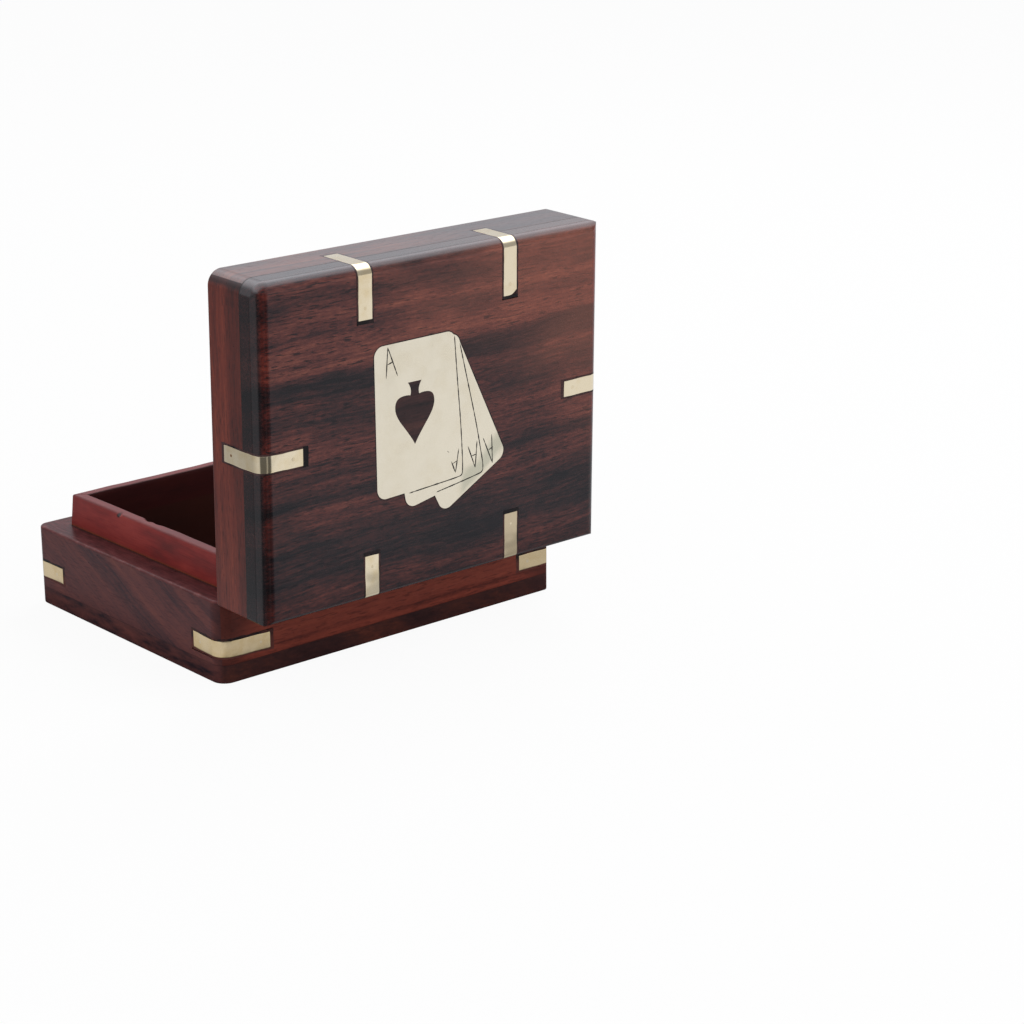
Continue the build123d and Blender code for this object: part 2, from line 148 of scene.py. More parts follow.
def piece(name, blocks, finish, body, replaced):
    """One object from blocks of points and quads in millimetres, smooth but for its sharp edges."""
    starts = np.cumsum([0] + [len(points) for points, _ in blocks])
    points = np.concatenate([points for points, _ in blocks]) / to_mm
    quads = np.concatenate([quads + start for (_, quads), start in zip(blocks, starts)])
    mesh = bpy.data.meshes.new(name)
    mesh.from_pydata(points.tolist(), [], quads.tolist())
    work = bmesh.new()
    work.from_mesh(mesh)
    bmesh.ops.remove_doubles(work, verts=work.verts, dist=1e-7)
    bmesh.ops.recalc_face_normals(work, faces=work.faces)
    work.to_mesh(mesh)
    work.free()
    mesh.polygons.foreach_set("use_smooth", np.ones(len(mesh.polygons), bool))
    mesh.set_sharp_from_angle(angle=sharp_edge)
    mesh.materials.append(finish)
    made = bpy.data.objects.new(name, mesh)
    bpy.context.scene.collection.objects.link(made)
    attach(made, body)
    if replaced:
        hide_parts(*replaced)


def wobble(s, seed, pitch):
    """Smooth uneven line between about -1 and 1: five sine waves with seeded phases, longest wave pitch."""
    rng = np.random.default_rng(seed)
    k = np.arange(1, 6)
    phase = rng.uniform(0, 2 * np.pi, 5)
    waves = np.sin(np.asarray(s)[..., None] * (2 * np.pi / pitch) * k**0.8 + phase)
    return (waves / k**0.7).sum(-1) / 1.6


# Shader maths
class Flow:
    """A socket's value in a node tree. Arithmetic on it adds Math nodes."""

    def __init__(self, nodes, socket):
        self.nodes = nodes
        self.socket = socket

    def math(self, operation, first, second=0.0):
        return self.nodes.node("ShaderNodeMath", {"operation": operation}, {0: first, 1: second})

    def __add__(self, other):
        return self.math("ADD", self, other)

    __radd__ = __add__

    def __sub__(self, other):
        return self.math("SUBTRACT", self, other)

    def __rsub__(self, other):
        return self.math("SUBTRACT", other, self)

    def __mul__(self, other):
        return self.math("MULTIPLY", self, other)

    __rmul__ = __mul__

    def __truediv__(self, other):
        return self.math("DIVIDE", self, other)

    def __abs__(self):
        return self.math("ABSOLUTE", self)

    def at_least(self, floor):
        return self.math("MAXIMUM", self, floor)

    def root(self):
        return self.math("SQRT", self)

    def step(self, start, end):
        """Smooth climb from 0 at start to 1 at end."""
        inputs = {"Value": self, "From Min": start, "From Max": end}
        return self.nodes.node("ShaderNodeMapRange", {"interpolation_type": "SMOOTHSTEP"}, inputs)

    def near(self, middle, reach):
        """Smooth bump, 1 at the middle and 0 beyond the reach."""
        return 1 - abs(self - middle).step(reach * 0.3, reach)


def tone(red, green, blue):
    """Linear colour of a tone given as it looks on screen, 0 to 255."""
    shown = np.array([red, green, blue]) / 255
    linear = np.where(shown <= 0.04045, shown / 12.92, ((shown + 0.055) / 1.055) ** 2.4)
    return (*map(float, linear), 1.0)


class Nodes:
    """A node tree being built, one node at a time."""

    def __init__(self, tree):
        self.tree = tree

    def node(self, kind, settings=None, inputs=None, output=0):
        made = self.tree.nodes.new(kind)
        for key, value in (settings or {}).items():
            if key == "stops":
                self.fill_ramp(made.color_ramp, value)
            else:
                setattr(made, key, value)
        for key, value in (inputs or {}).items():
            self.plug(made.inputs[key], value)
        return Flow(self, made.outputs[output])

    def plug(self, socket, value):
        if isinstance(value, Flow):
            self.tree.links.new(value.socket, socket)
        else:
            socket.default_value = value

    def fill_ramp(self, ramp, stops):
        while len(ramp.elements) < len(stops):
            ramp.elements.new(1.0)
        for element, (place, colour) in zip(ramp.elements, stops):
            element.position = place
            element.color = colour

    def noise(self, x, y, z, detail=2.0, rough=0.5):
        vector = self.node("ShaderNodeCombineXYZ", None, {0: x, 1: y, 2: z})
        inputs = {"Vector": vector, "Scale": 1.0, "Detail": detail, "Roughness": rough}
        return self.node("ShaderNodeTexNoise", None, inputs)

    def lines(self, w, detail=2.0, rough=0.5):
        inputs = {"W": w, "Scale": 1.0, "Detail": detail, "Roughness": rough}
        return self.node("ShaderNodeTexNoise", {"noise_dimensions": "1D"}, inputs)

    def mix(self, factor, first, second, blend="MIX"):
        settings = {"data_type": "RGBA", "blend_type": blend}
        return self.node("ShaderNodeMix", settings, {0: factor, 6: first, 7: second}, 2)

    def ramp(self, value, stops):
        return self.node("ShaderNodeValToRGB", {"stops": stops}, {0: value})

    def levels(self, value, stops):
        """Grey read off a line through stops of (place, level)."""
        return self.ramp(value, [(place, (level, level, level, 1.0)) for place, level in stops])

    def rays(self, kind):
        return self.node("ShaderNodeLightPath", output=f"Is {kind} Ray")


class Finish(Nodes):
    """A material's nodes, ending in its surface shader."""

    def __init__(self, name):
        self.material = bpy.data.materials.new(name)
        self.material.use_nodes = True
        super().__init__(self.material.node_tree)
        self.surface = self.tree.nodes["Principled BSDF"]

    def set(self, **values):
        for key, value in values.items():
            self.plug(self.surface.inputs[key.replace("_", " ")], value)

    def place(self):
        """Object coordinates in millimetres, as three values."""
        spot = self.node("ShaderNodeTexCoord", output="Object")
        return {axis: self.node("ShaderNodeSeparateXYZ", None, {0: spot}, axis) * to_mm for axis in "XYZ"}

    def bump(self, height, strength, distance):
        inputs = {"Height": height, "Strength": strength, "Distance": distance}
        return self.node("ShaderNodeBump", None, inputs)


def lid_place(spot):
    """Place on the closed lid of a point of the open one: y in plan and t above the rim."""
    dy = spot["Y"] - pin_y
    dz = spot["Z"] - pin_z
    return dy * open_cos + dz * open_sin + pin_y, dz * open_cos - dy * open_sin - rim_gap / 2


# Values that several finishes share: depth of the finest relief in metres, polish, oiled and dry wood
relief = 0.0001
polish_rough = 0.13
polish_weight = 0.6
oiled_ior = 1.36
dry_ior = 1.2


# Wood: soft bands of a slowly wandering ring coordinate, then clouds, dashes and specks along the grain
def board_wood(
    name, axes, seed, tones, pitch, wander,
    plan=None, face=0.0, tilt=0.0, fleck=1.0, pores=0.35, rough=0.31, stain_and_painted_light=None, shine=None, ior=oiled_ior,
):
    """Oiled wood of one board. axes names the object axes along, across and into the grain.

    plan gives dark and light bands across the board as (place, level), on top of uneven ones, where it
    shows on a face at the depth given. fleck and pores are the strengths of the short marks along the
    grain. stain_and_painted_light is a further change of colour, called with the finish, the place and
    the colour: stains and wear, and on some boards painted shade and a painted highlight.
    shine gives the weight of a thin polish from the place.
    """
    finish = Finish(name)
    spot = finish.place()
    along, across, into = (spot[axis] for axis in axes)
    drift = finish.noise(along * 0.013 + seed, across * 0.03, into * 0.05, 2.0) - 0.5
    ripple = finish.noise(along * 0.06 + seed, across * 0.10, into * 0.10 + seed, 2.0) - 0.5
    ring = across + (into - face) * 0.3 + along * tilt + drift * wander + ripple * 2.0
    level = finish.lines(ring / pitch + seed, 3.0, 0.55)
    if plan:
        place, span = plan[0]
        level = finish.levels((ring - place) / span, plan[1:]) * 0.85 + level * 0.15
    streak = finish.noise(along * 0.016 + seed, ring * 0.6, into * 0.3, 3.0, 0.55) - 0.5
    cloud = finish.noise(along * 0.05 + seed, across * 0.08, into * 0.08, 2.0, 0.5) - 0.5
    dash = finish.noise(along * 0.11, ring * 1.8, into * 1.3 + seed, 2.0, 0.55) - 0.5
    speck = finish.noise(along * 0.6, across * 1.5 + seed, into * 1.5, 2.0, 0.6) - 0.5
    level = level + streak * 0.45 + cloud * 0.45 + (dash * 0.36 + speck * 0.26) * fleck
    colour = finish.ramp(level, [(place, tone(*shade)) for place, shade in tones])
    pore = finish.noise(along * 0.26 + seed, across * 2.3, into * 2.3, 1.0).step(0.58, 0.67)
    colour = finish.mix(pore * pores, colour, tone(*tones[0][1]))
    if stain_and_painted_light:
        colour = stain_and_painted_light(finish, spot, colour)
    finish.set(Base_Color=colour)
    finish.set(Roughness=speck * 0.16 + pore * 0.10 + rough)
    finish.set(Normal=finish.bump(speck * 0.5 + dash * 0.5 - pore + ripple * 1.5, 0.08, relief))
    finish.set(IOR=ior, Coat_Roughness=polish_rough)
    if shine:
        finish.set(Coat_Weight=shine(spot))
    return finish.material


panel_tones = [
    (0.12, (18, 16, 21)), (0.27, (36, 24, 27)), (0.42, (58, 32, 32)),
    (0.56, (80, 42, 39)), (0.72, (102, 56, 48)), (0.92, (128, 75, 58)),
]
spade_tones = [(0.2, (18, 12, 13)), (0.5, (44, 24, 24)), (0.8, (70, 40, 36))]
wall_tones = [(0.16, (44, 14, 11)), (0.36, (80, 28, 20)), (0.56, (98, 36, 25)), (0.85, (126, 54, 36))]
top_tones = [(0.22, (20, 17, 20)), (0.40, (58, 32, 30)), (0.56, (92, 48, 38)), (0.85, (126, 72, 54))]
tray_tones = [(0.16, (76, 34, 29)), (0.34, (108, 49, 39)), (0.52, (121, 56, 44)), (0.80, (136, 66, 50))]
sill_tones = [(0.22, (42, 26, 27)), (0.46, (56, 33, 32)), (0.66, (70, 38, 33)), (0.88, (94, 48, 38))]
flank_tones = [(0.16, (58, 40, 45)), (0.36, (80, 48, 49)), (0.58, (94, 54, 53)), (0.88, (110, 62, 56))]
lid_plan = [
    (pin_z, 2 * half_depth),
    (0.00, 0.30), (0.05, 0.44), (0.09, 0.34), (0.125, 0.12), (0.165, 0.28), (0.21, 0.22), (0.27, 0.48),
    (0.31, 0.52), (0.34, 0.14), (0.375, 0.50), (0.43, 0.42), (0.48, 0.54), (0.55, 0.42), (0.60, 0.34),
    (0.63, 0.50), (0.66, 0.26), (0.70, 0.12), (0.73, 0.62), (0.77, 0.68), (0.82, 0.46), (0.86, 0.62),
    (0.905, 0.40), (0.95, 0.48), (1.00, 0.40),
]
tray_plan = [
    (bottom_top, rim_z - bottom_top),
    (0.00, 0.30), (0.06, 0.52), (0.14, 0.24), (0.22, 0.56), (0.45, 0.62), (0.62, 0.44), (0.80, 0.60),
    (0.95, 0.46),
]


def lid_top_figure_and_shade(finish, spot, colour):
    """Warmer wood towards one corner of the lid's top, painted shade on the rounded ends, near black past
    them.

    The front is dark too, and a dark line marks the seam.
    """
    y, t = lid_place(spot)
    cloud = finish.noise(spot["X"] * 0.03, spot["Z"] * 0.05, 4.0, 2.0)
    warm = (spot["X"] * 0.009 + y * 0.013 + (cloud - 0.5) * 0.9).step(0.1, 0.95)
    colour = finish.mix(warm, colour, (1.5, 1.4, 1.25, 1), "MULTIPLY")
    colour = finish.mix(warm * 0.40, colour, tone(142, 87, 69))
    front = y.step(half_depth - 1.4, half_depth - 0.5)
    colour = finish.mix(front * 0.6, colour, tone(36, 26, 30))
    end = abs(spot["X"]).step(half_length - 1.5, half_length - 0.7)
    # Painted shade: the rounding at each end is darkened and reddened.
    rounding = abs(spot["X"]).step(half_length - 3.4, half_length - 2.5) * (1 - end)
    colour = finish.mix(rounding, colour, (0.86, 0.51, 0.45, 1), "MULTIPLY")
    colour = finish.mix(end, colour, (0.30, 0.31, 0.39, 1), "MULTIPLY")
    return finish.mix(t.near(lid_seam, 0.3) * 0.7, colour, tone(12, 8, 9))


def lid_wall_figure(finish, spot, colour):
    """A dark line along the seam under the lid's top, paler arrises at the rim."""
    y, t = lid_place(spot)
    rubbed = finish.noise(spot["X"] * 0.3, y * 0.3, 7.0, 3.0, 0.65).step(0.42, 0.7)
    colour = finish.mix((1 - t.step(0.1, 0.8)) * rubbed * 0.35, colour, tone(136, 72, 56))
    return finish.mix(t.near(lid_seam, 0.3) * 0.7, colour, tone(14, 9, 9))


def lid_side_figure(finish, spot, colour):
    """Seam and arrises of the lid's walls, on wood that is near black where it turns the front corner."""
    y, _ = lid_place(spot)
    patch = finish.noise(y * 0.25, spot["Z"] * 0.1, spot["X"] * 0.3, 2.0) - 0.5
    corner = (y + patch * 3.0).step(half_depth - 3.6, half_depth - 1.8)
    return lid_wall_figure(finish, spot, finish.mix(corner * 0.75, colour, tone(30, 20, 22)))


def lid_long_figure(finish, spot, colour):
    """Seam and arrises of the lid's walls, on wood that darkens along the board."""
    dark = spot["X"].step(-35.0, 45.0)
    return lid_wall_figure(finish, spot, finish.mix(dark * 0.65, colour, tone(34, 25, 29)))


def rubbed_rim_and_shade(finish, spot, colour):
    """Dull rim of the tray with rubbed patches, painted shade at the foot of the liner, and a pale outer
    arris that is worn and partly a painted highlight.

    A dark line marks the seam above the bottom.
    """
    x, y = spot["X"], spot["Y"]
    beside_x = abs(x) - (half_length - wall_thickness)
    beside_y = abs(y) - (half_depth - wall_thickness)
    on_side = beside_x.step(0.0, 0.5)
    grain = finish.noise(x * 1.1, y * 0.16, 3.0, 3.0, 0.6) * on_side
    grain = grain + finish.noise(x * 0.16, y * 1.1, 3.0, 3.0, 0.6) * (1 - on_side)
    patch = finish.noise(x * 0.25, y * 0.25, 9.0, 4.0, 0.7).step(0.46, 0.72)
    rim_tones = [(0.34, tone(52, 22, 23)), (0.50, tone(80, 37, 39)), (0.68, tone(102, 52, 53))]
    rim_colour = finish.ramp(grain, rim_tones)
    rim_colour = finish.mix(patch * 0.4, rim_colour, tone(122, 74, 74))
    outwards = beside_x.at_least(beside_y)
    # Painted shade: darker within about a millimetre of the liner's foot.
    rim_colour = finish.mix(1 - outwards.step(0.1, 1.1), rim_colour, tone(34, 18, 18))
    # Pale outer arris: worn in patches, partly a painted highlight.
    arris = outwards.step(wall_thickness - 1.3, wall_thickness - 0.5) * (patch * 0.55 + 0.15)
    rim_colour = finish.mix(arris, rim_colour, tone(146, 88, 84))
    colour = finish.mix(spot["Z"].step(rim_z - 0.75, rim_z - 0.2) * 0.9, colour, rim_colour)
    return finish.mix(spot["Z"].near(bottom_top, 0.25) * 0.5, colour, tone(20, 10, 10))


def tray_long_figure_and_shade(finish, spot, colour):
    """Rubbed rim with its painted shade, and painted shade where the long walls turn the corner."""
    # Painted shade: darker towards both ends of the long walls.
    corner = abs(spot["X"]).step(half_length - 14.0, half_length - 2.0)
    return rubbed_rim_and_shade(finish, spot, finish.mix(corner * 0.8, colour, tone(62, 30, 27)))


def tray_side_figure_and_shade(finish, spot, colour):
    """Rubbed rim with its painted shade, and darker wood where the short walls turn the corner."""
    corner = abs(spot["Y"]).step(half_depth - 4.5, half_depth - 1.0)
    return rubbed_rim_and_shade(finish, spot, finish.mix(corner * 0.6, colour, tone(50, 28, 28)))


def sill_figure(finish, spot, colour):
    """The short ends of the bottom take the tone of the walls above them."""
    patch = finish.noise(spot["X"] * 0.1, spot["Y"] * 0.12, spot["Z"] * 0.5, 3.0, 0.6)
    end_tones = [(0.32, tone(34, 26, 34)), (0.5, tone(80, 46, 46)), (0.72, tone(104, 58, 54))]
    end = abs(spot["X"]).step(half_length - 1.6, half_length - 0.3)
    return finish.mix(end * 0.85, colour, finish.ramp(patch, end_tones))


def lid_edge_shine(spot):
    """Polish on the front of the lid and on its rounded ends, where it is handled."""
    y, t = lid_place(spot)
    front = y.step(half_depth - 3.4, half_depth - 1.4)
    end = abs(spot["X"]).step(half_length - 1.7, half_length - 1.1)
    end = end * (1 - abs(spot["X"]).step(half_length - 0.05, half_length - 0.01))
    return front.at_least(end) * (1 - t.near(lid_seam, 0.35)) * polish_weight


lid_panel_wood = board_wood(
    "lid_panel_wood", "XZY", 3.1, panel_tones, 14.0, 8.0,
    plan=lid_plan, face=cad_box[0][1] * to_mm, tilt=-0.03, fleck=1.45, pores=0.8, rough=0.22,
    stain_and_painted_light=lid_top_figure_and_shade, shine=lid_edge_shine,
)
spade_wood = board_wood("spade_wood", "XZY", 3.1, spade_tones, 7.0, 8.0)
lid_side_wood = board_wood(
    "lid_side_wood", "ZYX", 7.7, wall_tones, 9.0, 4.0, fleck=1.3, pores=0.5, stain_and_painted_light=lid_side_figure
)
lid_long_wood = board_wood(
    "lid_long_wood", "XYZ", 12.4, top_tones, 7.0, 6.0, stain_and_painted_light=lid_long_figure, shine=lid_edge_shine
)
tray_long_wood = board_wood(
    "tray_long_wood", "XZY", 21.3, tray_tones, 8.0, 3.0,
    plan=tray_plan, face=-half_depth, fleck=1.2, pores=0.6, stain_and_painted_light=tray_long_figure_and_shade, ior=dry_ior,
)
tray_side_wood = board_wood(
    "tray_side_wood", "YZX", 33.9, flank_tones, 8.0, 9.0,
    tilt=-0.5, fleck=1.6, stain_and_painted_light=tray_side_figure_and_shade, ior=dry_ior,
)
sill_wood = board_wood(
    "sill_wood", "XYZ", 41.2, sill_tones, 9.0, 5.0, tilt=0.25, stain_and_painted_light=sill_figure, ior=dry_ior
)


def liner_wood(name, axes, seed, hole=None):
    """Red-stained strip: even stain, darker in the grain, painted shade towards the inside of the tray and
    a painted sheen on the top of the lip.

    hole is the place along and up of a small hole where a splinter has come out, painted dark for the shade
    in it.
    """
    finish = Finish(name)
    spot = finish.place()
    along, across, into = (spot[axis] for axis in axes)
    cloud = finish.noise(along * 0.06 + seed, across * 0.2, into * 0.2, 3.0, 0.6)
    fibre = finish.noise(along * 0.12, across * 3.0, into * 3.0 + seed, 3.0, 0.65)
    stain_tones = [(0.28, tone(96, 26, 24)), (0.5, tone(126, 34, 31)), (0.75, tone(148, 50, 43))]
    colour = finish.ramp(cloud, stain_tones)
    colour = finish.mix(fibre.step(0.45, 0.8) * 0.35, colour, tone(62, 16, 16))
    root = 1 - spot["Z"].step(rim_z + 0.1, rim_z + 0.8)
    colour = finish.mix(root * 0.55, colour, tone(112, 66, 34))
    # Painted sheen: the top of the lip is greyer and less red, in streaks along the fibre.
    crest = spot["Z"].step(lip_z - 0.7, lip_z - 0.2)
    colour = finish.mix(crest * (fibre * 0.6 + 0.25), colour, tone(92, 56, 56))
    inner_x = half_length - wall_thickness - liner_thickness
    inner_y = half_depth - wall_thickness - liner_thickness
    # Painted shade on the inner faces of the liner, inside the tray.
    inside_x = 1 - abs(spot["X"]).step(inner_x + 0.05, inner_x + 0.5)
    inside_y = 1 - abs(spot["Y"]).step(inner_y + 0.05, inner_y + 0.5)
    colour = finish.mix(inside_x * inside_y * 0.85, colour, tone(42, 24, 24))
    if hole:
        # Painted shade in the splinter hole: a dark spot on the flat strip.
        beside, above = (along - hole[0]) * 0.8, across - hole[1]
        apart = (beside * beside + above * above).root() + (fibre - 0.5) * 0.5
        colour = finish.mix(apart.near(0.0, 0.85), colour, tone(22, 9, 9))
    finish.set(Base_Color=colour, Roughness=fibre * 0.2 + 0.40)
    finish.set(Normal=finish.bump(fibre, 0.15, relief))
    finish.set(IOR=oiled_ior)
    return finish.material


liner_long_wood = liner_wood("liner_long_wood", "XZY", 5.0)
liner_left_wood = liner_wood("liner_left_wood", "YZX", 9.0, (13.4, lip_z - 0.8))
liner_right_wood = liner_wood("liner_right_wood", "YZX", 9.0)


def worn_brass(name, base, shade, rough, stain_and_painted_light=None):
    """Rubbed brass: cloudy tarnish, fine scratches two ways, small dark pits and a slightly uneven face."""
    finish = Finish(name)
    spot = finish.place()
    x, y, z = spot["X"], spot["Y"], spot["Z"]
    cloud = finish.noise(x * 0.16, y * 0.16, z * 0.16, 3.0, 0.6)
    scratch = finish.noise(x * 7.0 + z * 3.0, y * 3.0, z * 0.4 - x * 0.3, 2.0)
    rub = finish.noise(x * 0.4, y * 2.0, z * 8.0 + x * 2.0, 2.0)
    grain = scratch * 0.5 + rub * 0.5
    pit = finish.noise(x * 2.7, y * 2.7, z * 2.7, 2.0).step(0.72, 0.78)
    swell = finish.noise(x * 0.12, y * 0.12, z * 0.12, 1.0)
    colour = finish.mix(cloud.step(0.40, 0.72) * 0.6 + (grain - 0.45) * 0.10, tone(*base), tone(*shade))
    colour = finish.mix(pit * 0.12, colour, tone(110, 92, 60))
    # A further change of colour: real rust on a nail, painted shade on a strap, a painted reflection on the
    # plate.
    if stain_and_painted_light:
        colour = stain_and_painted_light(finish, spot, colour)
    finish.set(Base_Color=colour, Roughness=cloud * 0.10 + grain * 0.12 + (rough - 0.11))
    finish.set(Normal=finish.bump(grain * 0.05 - pit * 0.15 + swell * 6.0, 0.5, relief))
    finish.set(Metallic=1.0)
    return finish.material


def plate_painted_reflection(finish, spot, colour):
    """Painted reflection: a duller, greener streak over the lower corner of the fan."""
    y, _ = lid_place(spot)
    x = spot["X"]
    patch = finish.noise(x * 0.12, y * 0.12, 2.0, 2.0) - 0.5
    # Painted reflection: a slanted streak mixed into the plate's colour.
    slant = (y + 19.0) * 0.83 - (x - 8.0) * 0.55 + patch * 5.0
    streak = slant.near(0.0, 3.0) * x.step(6.6, 9.0)
    return finish.mix(streak * 0.7, colour, tone(196, 194, 172))


def nail_rust(finish, spot, colour):
    """A brown spot on the nail of the lid's left side."""
    y, t = lid_place(spot)
    _, middle, start, _, _, _ = lid_straps["left"]
    beside, above = y - middle, t - (start + nail_from_end)
    apart = (beside * beside + above * above).root()
    on_left = 1 - spot["X"].step(-half_length, 0.0)
    return finish.mix(apart.near(0.0, 0.55) * on_left, colour, tone(142, 88, 36))


def strap_painted_shade(finish, spot, colour):
    """Painted shade: duller, darker brass on the strap at the hinged edge, to the right."""
    low = spot["X"].step(5.0, 15.0) * (1 - spot["Z"].step(40.0, 50.0))
    # Painted shade mixed into the brass low on the right.
    return finish.mix(low * 0.85, colour, tone(200, 182, 150))


plate_brass = worn_brass("plate_brass", (244, 234, 211), (239, 227, 200), 0.25, plate_painted_reflection)
strap_brass = worn_brass("strap_brass", (242, 227, 196), (226, 203, 156), 0.13, strap_painted_shade)
corner_brass = worn_brass("corner_brass", (238, 215, 172), (220, 190, 132), 0.19)
nail_brass = worn_brass("nail_brass", (236, 219, 186), (218, 194, 144), 0.20, nail_rust)
hinge_brass = worn_brass("hinge_brass", (212, 182, 112), (170, 134, 70), 0.28)


def dull_filler(name, rubbed, wear, thin_below=0.0, shine=None):
    """Black filler: gritty, dull, rubbed to a tone near the wood's in patches, more so below a height.

    shine gives the weight of a thin polish from the place, as on the wood round it.
    """
    finish = Finish(name)
    spot = finish.place()
    grit = finish.noise(spot["X"] * 1.6, spot["Y"] * 1.6, spot["Z"] * 1.6, 3.0, 0.65)
    patch = finish.noise(spot["X"] * 0.2, spot["Y"] * 0.2, spot["Z"] * 0.2, 2.0)
    thin = 1 - spot["Z"].step(thin_below - 1.5, thin_below + 1.5)
    worn = (grit * 0.35 + patch * 0.65 + thin * 0.22 + wear).step(0.40, 0.66)
    finish.set(Base_Color=finish.mix(worn, tone(19, 16, 18), tone(*rubbed)))
    finish.set(Roughness=grit * 0.2 + 0.45)
    finish.set(Normal=finish.bump(grit, 0.3, relief))
    finish.set(IOR=1.3)
    if shine:
        finish.set(Coat_Weight=shine(spot), Coat_Roughness=polish_rough)
    return finish.material


def cut_line():
    """Cut of an engraved line, dark and dull, flecked with brown."""
    finish = Finish("cut_line")
    spot = finish.place()
    grit = finish.noise(spot["X"] * 2.0, 0.0, spot["Z"] * 2.0, 3.0, 0.65)
    finish.set(Base_Color=finish.ramp(grit, [(0.3, tone(14, 11, 10)), (0.75, tone(44, 36, 30))]))
    finish.set(Roughness=grit * 0.2 + 0.5)
    return finish.material


lid_filler = dull_filler("lid_filler", (64, 40, 39), 0.10, shine=lid_edge_shine)
end_filler = dull_filler("end_filler", (44, 30, 31), -0.05, shine=lid_edge_shine)
plate_filler = dull_filler("plate_filler", (64, 40, 39), 0.0)
tray_filler = dull_filler("tray_filler", (84, 42, 36), 0.0, 10.0)
engraved = cut_line()

node_finish = {
    "lid_top_panel": lid_panel_wood,
    "spade_insert": spade_wood,
    "lid_wall_left": lid_side_wood,
    "lid_wall_right": lid_side_wood,
    "lid_wall_front": lid_long_wood,
    "lid_wall_back": lid_long_wood,
    "base_wall_back": tray_long_wood,
    "base_wall_front": tray_long_wood,
    "base_wall_left": tray_side_wood,
    "base_wall_right": tray_side_wood,
    "base_bottom_panel": sill_wood,
    "inlay_filler": plate_filler,
    "card_inlay_plate": plate_brass,
}
for node, made in frame["nodes"].items():
    finish = node_finish.get(node, hinge_brass if "hinge" in node else strap_brass)
    made.data.materials.clear()
    made.data.materials.append(finish)


# Straps and the filler round them
def bent_path(s, first_leg, radius):
    """Line that runs up a face, round an edge and on over the next face, by its length s from the start.

    Gives the distance in from the first face, the distance up from the start and the outward direction
    as (in, up): the turn grows from nought to a quarter circle between the end of the first leg and a
    quarter arc further on.
    """
    turn = np.clip((s - first_leg) / radius, 0, np.pi / 2)
    beyond = np.maximum(s - first_leg - radius * np.pi / 2, 0)
    inwards = radius * (1 - np.cos(turn)) + beyond
    upwards = np.minimum(s, first_leg) + radius * np.sin(turn)
    return inwards, upwards, -np.cos(turn), np.sin(turn)


def on_lid_strap(name, s, w, h):
    """Point of a lid strap at s along it, w across it and h above the wood."""
    (face_x, face_y), middle, start, _, _, radius = lid_straps[name]
    inwards, upwards, out_in, out_up = bent_path(s, lid_height - radius - start, radius)
    reach = (half_length if face_x else half_depth) - inwards - out_in * h
    run = middle + w
    x = face_x * reach + (0 if face_x else 1) * run
    y = face_y * reach + (0 if face_y else 1) * run
    return opened(x, y, start + upwards + out_up * h)


def on_tray_strap(name, s, w, h):
    """Point of a tray strap: s from its end on the short side, w up from its middle, h above the wood."""
    (to_x, to_y), _, short_leg, height, drop, radius = tray_straps[name]
    inwards, upwards, out_in, out_up = bent_path(s, short_leg - radius, radius)
    x = to_x * (half_length - inwards - out_in * h)
    y = to_y * (half_depth - short_leg + upwards + out_up * h)
    z = height + w - drop * (s / tray_strap_length(name) - 0.5)
    return np.stack(np.broadcast_arrays(x, y, z), -1)


def lid_strap_length(name):
    _, _, start, reach, _, radius = lid_straps[name]
    return lid_height - start + reach - 2 * radius + radius * np.pi / 2


def tray_strap_length(name):
    _, long_leg, short_leg, _, _, radius = tray_straps[name]
    return long_leg + short_leg - 2 * radius + radius * np.pi / 2


strap_edge_w = np.array([1, 1, 0.985, 0.9, 0.5, 0.2])
strap_edge_h = np.array([-0.4, -0.004, 0.010, 0.015, 0.019, 0.020])
strap_section_w = np.concatenate([-strap_edge_w, strap_edge_w[::-1]])
strap_section_h = np.concatenate([strap_edge_h, strap_edge_h[::-1]])
strap_face_from = 0.012


def strap(place, name, length, skew, seed):
    """Hand-cut strap: a low crowned section carried along the bent line.

    Its width wavers a little along s, its face swells by a few thousandths, and the far end is cut askew.
    """
    s = np.linspace(0, length, 160)[:, None]
    w = strap_section_w[None]
    far = np.clip((s - length * 0.6) / (length * 0.4), 0, 1)
    askew = skew * far * np.clip(w, 0, 1) ** 1.6
    half = strap_half * (1 + 0.014 * wobble(s, seed, 17.0) + 0.006 * wobble(s, seed + 7, 4.0))
    shift = 0.05 * wobble(s, seed + 3, 23.0)
    face = (strap_section_h[None] > strap_face_from) * 0.005 * wobble(s, seed + 11, 9.0)
    return bar(place(name, s - askew, w * half + shift, strap_section_h[None] + face))


filler_section_w = np.array([-1, -1, -0.98, -0.79, -0.74, 0.74, 0.79, 0.98, 1, 1])
filler_section_h = np.array([-0.3, -0.01, 0.005, 0.005, -0.15, -0.15, 0.005, 0.005, -0.01, -0.3])


def filler(place, name, length, at_start, at_end, low, high, seed):
    """Filler bed round a strap: a thin ribbon wider than the strap by an uneven margin each side.

    It runs past the strap's ends by at_start and at_end, where it has no hollow for the strap.
    """
    s = np.linspace(-at_start, length + at_end, 150)[:, None]
    w = filler_section_w[None]
    left = strap_half + low + 0.10 * wobble(s, seed, 14.0) + 0.06 * wobble(s, seed + 5, 3.0)
    right = strap_half + high + 0.10 * wobble(s, seed + 1, 14.0) + 0.06 * wobble(s, seed + 6, 3.0)
    ragged = 0.12 * wobble(w * 2.0, seed + 2, 1.7)
    outside = (s < 0) | (s > length)
    filled = np.maximum(filler_section_h, np.where(np.abs(filler_section_w) < 0.98, 0.005, -0.3))
    h = np.where(outside, filled[None], filler_section_h[None])
    return bar(place(name, s + outside * ragged, np.where(w < 0, w * left, w * right), h))


